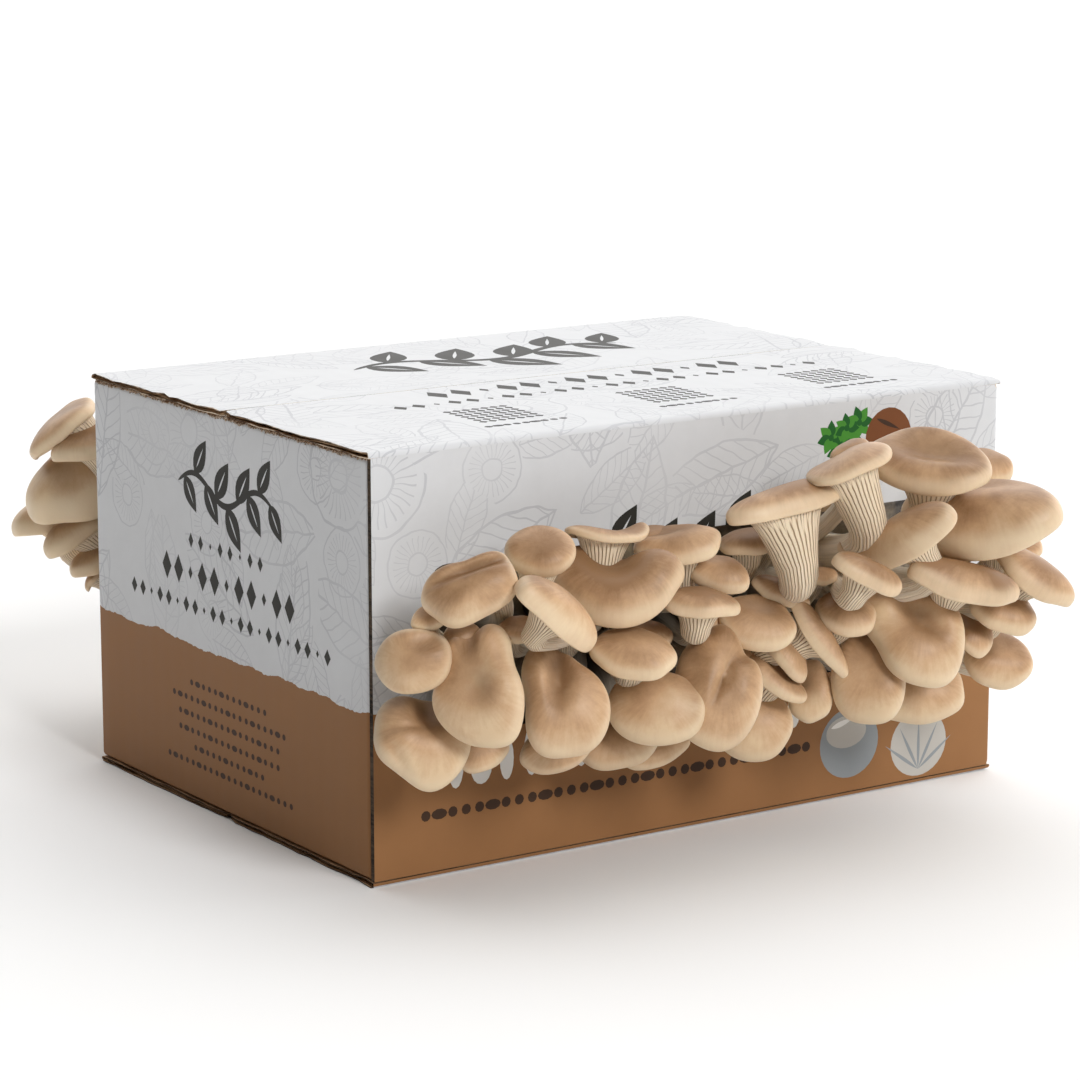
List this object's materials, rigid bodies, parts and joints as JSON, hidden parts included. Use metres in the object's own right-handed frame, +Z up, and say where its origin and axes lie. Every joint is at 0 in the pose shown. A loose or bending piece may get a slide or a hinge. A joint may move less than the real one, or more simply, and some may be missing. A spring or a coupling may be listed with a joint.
{
  "type": "oyster mushroom grow kit",
  "caption": "Printed cardboard carton holding a grow block, with a cluster of oyster mushrooms growing out of a window in each long side; the two outer top flaps hinge open.",
  "frame": {"origin": "middle of the carton's base, where it stands", "axes": "+X along the carton's long side, +Y to the back, -Y out of the front, +Z up"},
  "size_m": [0.3946, 0.511, 0.209],
  "materials": {
    "printed_board": "matt printed corrugated board",
    "grow_bag": "hazy plastic film over a white-grown block",
    "mushroom": "smooth satin mushroom skin, matt pale gills and stems"
  },
  "bodies": {
    "kit": {"bottom_flap_back": "printed_board", "bottom_flap_front": "printed_board", "bottom_flap_left": "printed_board", "bottom_flap_right": "printed_board", "carton_sleeve": "printed_board", "grow_block": "grow_bag", "mushroom_back_01": "mushroom", "mushroom_back_02": "mushroom", "mushroom_back_03": "mushroom", "mushroom_back_04": "mushroom", "mushroom_back_05": "mushroom", "mushroom_back_06": "mushroom", "mushroom_back_23": "mushroom", "mushroom_back_clump_1": "mushroom", "mushroom_back_clump_2": "mushroom", "mushroom_back_clump_3": "mushroom", "mushroom_back_clump_4": "mushroom", "mushroom_back_clump_5": "mushroom", "mushroom_back_clump_6": "mushroom", "mushroom_back_clump_7": "mushroom", "mushroom_back_clump_8": "mushroom", "mushroom_back_clump_9": "mushroom", "mushroom_front_01": "mushroom", "mushroom_front_02": "mushroom", "mushroom_front_03": "mushroom", "mushroom_front_04": "mushroom", "mushroom_front_05": "mushroom", "mushroom_front_06": "mushroom", "mushroom_front_07": "mushroom", "mushroom_front_08": "mushroom", "mushroom_front_09": "mushroom", "mushroom_front_10": "mushroom", "mushroom_front_11": "mushroom", "mushroom_front_12": "mushroom", "mushroom_front_13": "mushroom", "mushroom_front_14": "mushroom", "mushroom_front_15": "mushroom", "mushroom_front_18": "mushroom", "mushroom_front_19": "mushroom", "mushroom_front_22": "mushroom", "mushroom_front_26": "mushroom", "mushroom_front_27": "mushroom", "mushroom_front_28": "mushroom", "mushroom_front_29": "mushroom", "mushroom_front_30": "mushroom", "mushroom_front_31": "mushroom", "mushroom_front_32": "mushroom", "mushroom_front_33": "mushroom", "mushroom_front_34": "mushroom", "mushroom_front_35": "mushroom", "mushroom_front_36": "mushroom", "mushroom_front_37": "mushroom", "mushroom_front_clump_1": "mushroom", "mushroom_front_clump_2": "mushroom", "mushroom_front_clump_3": "mushroom", "mushroom_front_clump_4": "mushroom", "top_flap_left": "printed_board", "top_flap_right": "printed_board"},
    "flap_front": {"top_flap_front": "printed_board"},
    "flap_back": {"top_flap_back": "printed_board"}
  },
  "joints": [
    {"name": "front_flap_fold", "type": "hinge", "parent": "kit", "child": "flap_front", "pos_m": [0, -0.139, 0.206], "axis": [1, 0, 0], "range_deg": [0, 160]},
    {"name": "back_flap_fold", "type": "hinge", "parent": "kit", "child": "flap_back", "pos_m": [0, 0.139, 0.206], "axis": [-1, 0, 0], "range_deg": [0, 160]}
  ]
}
